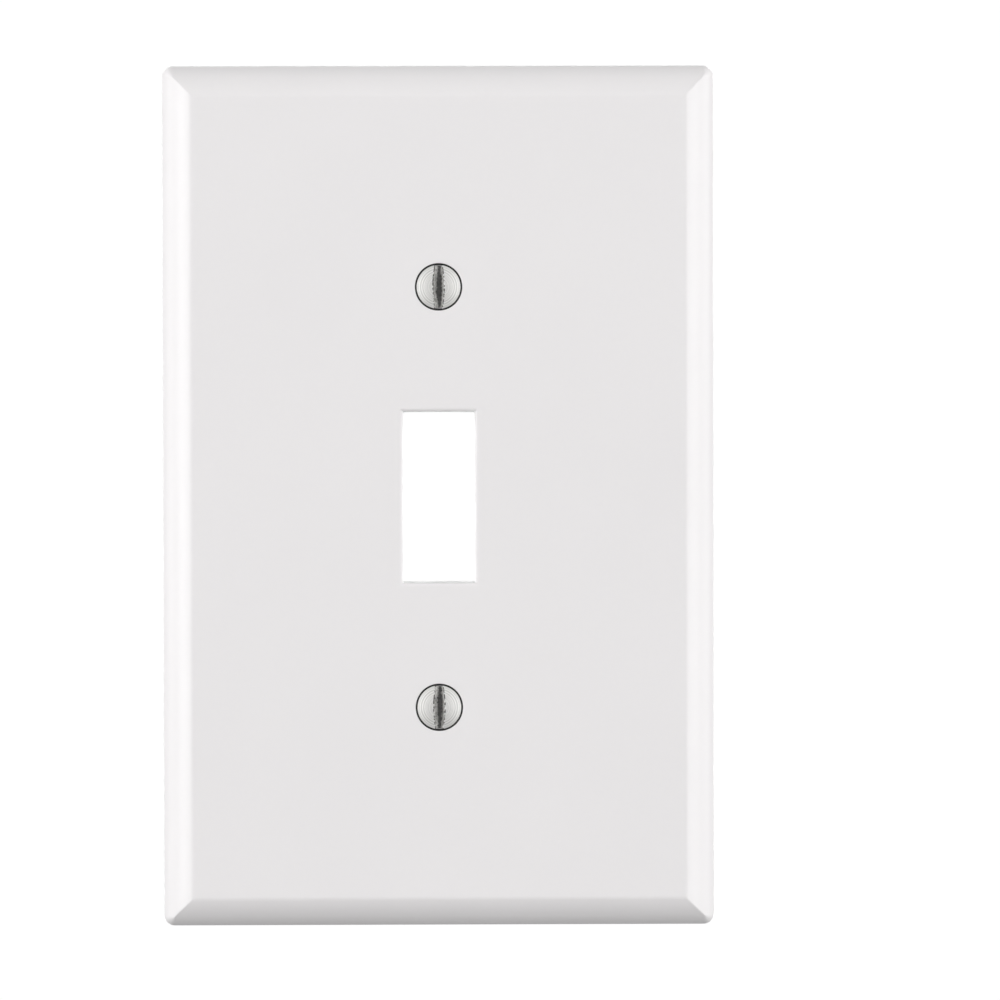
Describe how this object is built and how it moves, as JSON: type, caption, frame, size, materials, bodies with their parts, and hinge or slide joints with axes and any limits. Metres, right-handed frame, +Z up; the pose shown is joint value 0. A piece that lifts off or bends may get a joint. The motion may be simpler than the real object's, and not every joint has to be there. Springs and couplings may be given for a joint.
{
  "type": "wall plate cover",
  "caption": "Flat white wall plate with bevelled edges, a toggle switch opening and slotted oval-head mounting screws; covers a one-gang switch box.",
  "frame": {"origin": "centre of the plate on the wall plane, where the back of its rim rests", "axes": "+Z up the plate's height, +X to the right seen from the front, +Y into the wall; the front faces -Y"},
  "size_m": [0.0794, 0.0134, 0.1238],
  "materials": {
    "white_plastic": "smooth moulded, semi-gloss",
    "screw_steel": "bare steel with fine turning marks on the head"
  },
  "bodies": {
    "plate": {"faceplate": "white_plastic"},
    "upper_screw": {"upper_screw": "screw_steel"},
    "lower_screw": {"lower_screw": "screw_steel"}
  },
  "joints": [
    {"name": "upper_screw_turn", "type": "hinge", "parent": "plate", "child": "upper_screw", "pos_m": [0, 0, 0.03016], "axis": [0, -1, 0], "continuous": true},
    {"name": "lower_screw_turn", "type": "hinge", "parent": "plate", "child": "lower_screw", "pos_m": [0, 0, -0.03016], "axis": [0, -1, 0], "continuous": true}
  ]
}
